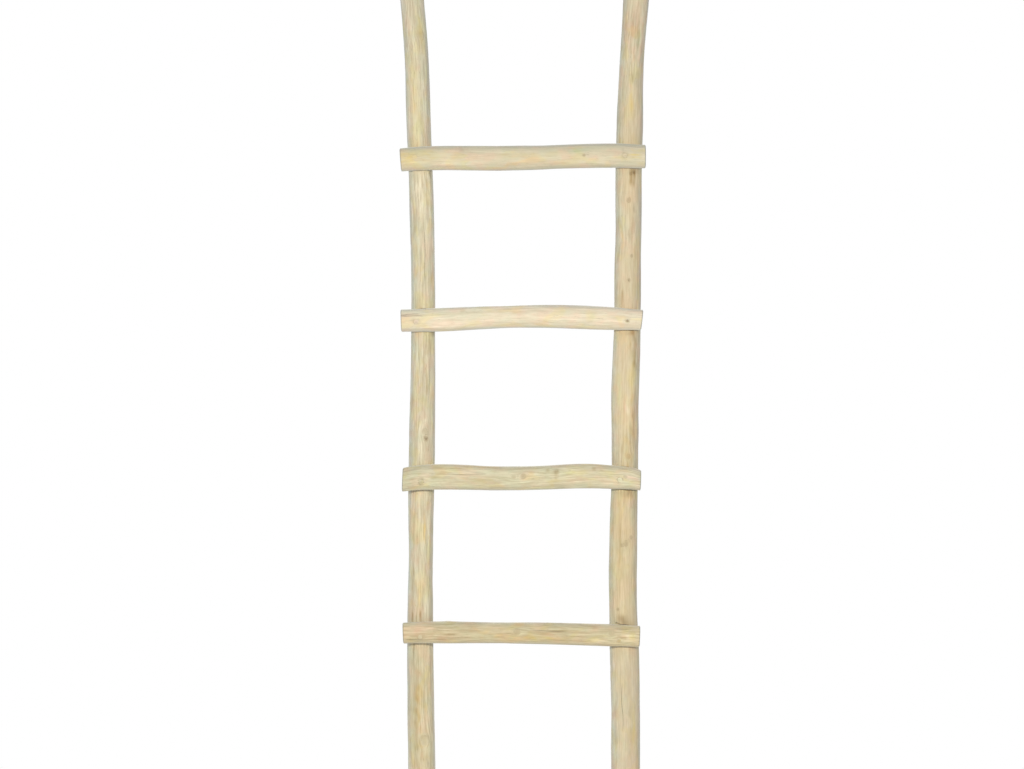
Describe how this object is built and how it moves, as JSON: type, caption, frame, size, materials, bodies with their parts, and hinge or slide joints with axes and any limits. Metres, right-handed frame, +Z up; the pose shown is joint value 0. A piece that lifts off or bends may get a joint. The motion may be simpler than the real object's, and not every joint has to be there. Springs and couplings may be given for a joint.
{
  "type": "ladder rack",
  "caption": "Leaning ladder rack of peeled natural branches: round poles with round rungs screwed across their fronts, for towels or clothes.",
  "frame": {"origin": "on the floor, midway between the poles, in the plane where the backs of the rungs meet the seats in the poles", "axes": "+X to the right seen from the front, -Y towards the person in front, +Y towards the wall behind, +Z up along the poles"},
  "size_m": [0.5158, 0.0949, 1.8],
  "materials": {
    "pole_wood": "peeled branch, dry and unfinished, matte",
    "rung_wood": "peeled branch, dry and unfinished, matte",
    "plug_wood": "end grain, matte",
    "screw_steel": "zinc plated"
  },
  "bodies": {
    "root": {"left_pole": "pole_wood", "right_pole": "pole_wood", "rung_1": "rung_wood", "rung_2": "rung_wood", "rung_3": "rung_wood", "rung_4": "rung_wood", "screw_1_left": "screw_steel", "screw_1_right": "screw_steel", "screw_2_left": "screw_steel", "screw_2_right": "screw_steel", "screw_3_left": "screw_steel", "screw_3_right": "screw_steel", "screw_4_left": "screw_steel", "screw_4_right": "screw_steel", "plug_1_left": "plug_wood", "plug_1_right": "plug_wood", "plug_2_left": "plug_wood", "plug_2_right": "plug_wood", "plug_3_left": "plug_wood", "plug_3_right": "plug_wood", "plug_4_left": "plug_wood", "plug_4_right": "plug_wood"}
  },
  "joints": []
}
